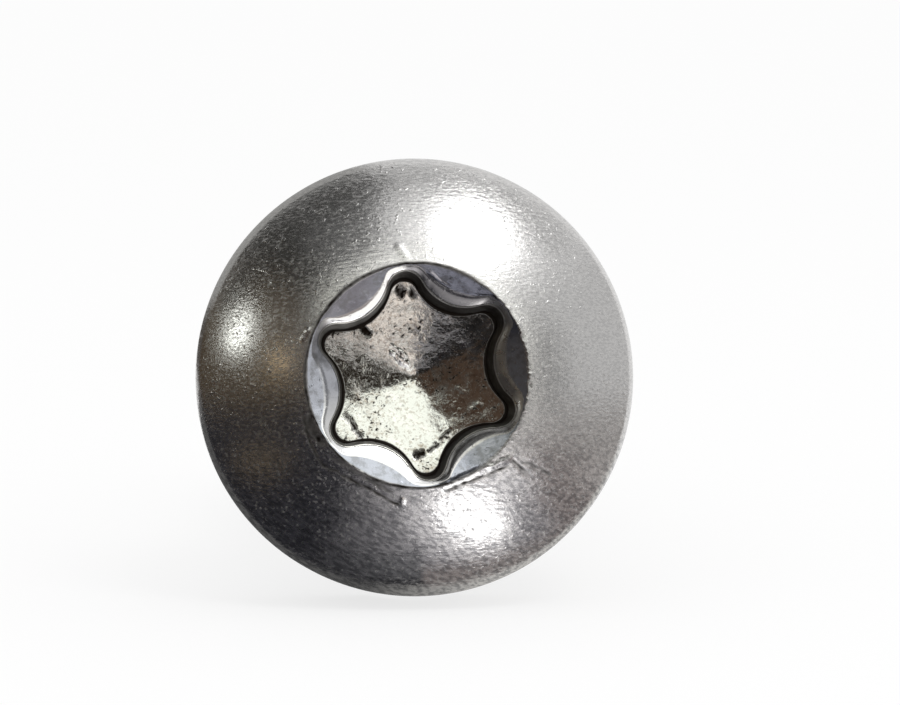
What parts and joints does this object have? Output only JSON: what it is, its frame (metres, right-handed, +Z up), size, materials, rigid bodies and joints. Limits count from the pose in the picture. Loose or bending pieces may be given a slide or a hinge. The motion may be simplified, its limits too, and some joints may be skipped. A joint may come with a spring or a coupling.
{
  "type": "pan head sheet metal screw",
  "caption": "Pan head sheet metal screw with a domed head, a six-lobe driver recess, a coarse right-hand tapping thread and a gimlet point.",
  "frame": {"origin": "on the surface the screw lies on, under the middle of its bounding box", "axes": "+Z up; the point looks to +Y and the head to -Y, leaning back by about 9 degrees as the screw lies on its head's edge and its thread"},
  "size_m": [0.0095, 0.0224, 0.0097],
  "materials": {
    "steel": "satin, lightly scuffed, with grime in the recess"
  },
  "bodies": {
    "root": {"screw": "steel"}
  },
  "joints": []
}
